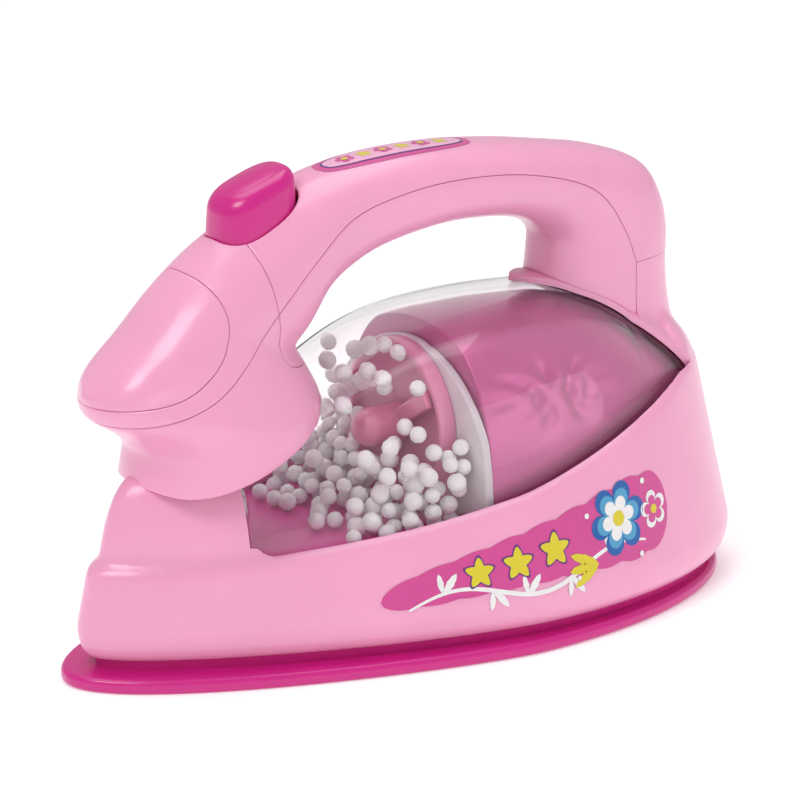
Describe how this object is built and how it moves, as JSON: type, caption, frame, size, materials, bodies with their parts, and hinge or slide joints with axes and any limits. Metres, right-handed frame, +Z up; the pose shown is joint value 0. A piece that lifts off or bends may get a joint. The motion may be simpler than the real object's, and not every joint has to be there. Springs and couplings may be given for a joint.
{
  "type": "toy steam iron",
  "caption": "Battery toy steam iron with a clear dome over a bead chamber, a motor-driven stirrer inside and a push button in the looped handle.",
  "frame": {"origin": "centre of the bounding box in plan, on the surface that the iron stands on", "axes": "+X from the nose to the heel, +Y to the iron's left as seen from its heel, +Z up"},
  "size_m": [0.1526, 0.0746, 0.0954],
  "materials": {
    "pink_plastic": "glossy pale pink moulded plastic",
    "magenta_plastic": "glossy magenta moulded plastic",
    "clear_plastic": "clear moulded plastic with a faint pink tint",
    "tinted_plastic": "tinted translucent pink plastic",
    "pearl_plastic": "pearly magenta plastic",
    "stirrer_plastic": "smooth pink plastic",
    "white_plastic": "plain white moulded plastic",
    "dark_plastic": "plain black moulded plastic",
    "bead_foam": "white expanded foam",
    "spring_steel": "plain steel",
    "motor_steel": "zinc-plated steel",
    "contact_brass": "sheet brass",
    "battery_wrap": "plain printed foil wrap"
  },
  "bodies": {
    "iron": {"sole_plate": "magenta_plastic", "body_shell": "pink_plastic", "clear_dome": "clear_plastic", "neck_shell": "pink_plastic", "head_cover": "pink_plastic", "beak_cover": "pink_plastic", "handle_cover": "pink_plastic", "handle_grip": "pink_plastic", "button_spring": "spring_steel", "switch_base": "white_plastic", "switch_contacts": "contact_brass", "deck_tray": "magenta_plastic", "bulkhead": "tinted_plastic", "clear_partition": "clear_plastic", "rear_inner_cover": "pearl_plastic", "motor": "motor_steel", "motor_bracket": "white_plastic", "foam_beads": "bead_foam", "battery_box": "dark_plastic", "batteries": "battery_wrap", "battery_contacts": "spring_steel", "battery_door": "magenta_plastic", "door_screw": "motor_steel", "case_screws": "motor_steel"},
    "button": {"push_button": "magenta_plastic"},
    "stirrer": {"agitator": "stirrer_plastic", "motor_shaft": "spring_steel"}
  },
  "joints": [
    {"name": "button_press", "type": "slide", "parent": "iron", "child": "button", "axis": [0, 0, -1], "range_m": [0, 0.003], "stiffness_N_per_m": 350, "springref_m": -0.002, "deforming": ["button_spring"]},
    {"name": "stirrer_spin", "type": "hinge", "parent": "iron", "child": "stirrer", "pos_m": [0, 0, 0.039], "axis": [1, 0, 0], "continuous": true}
  ]
}
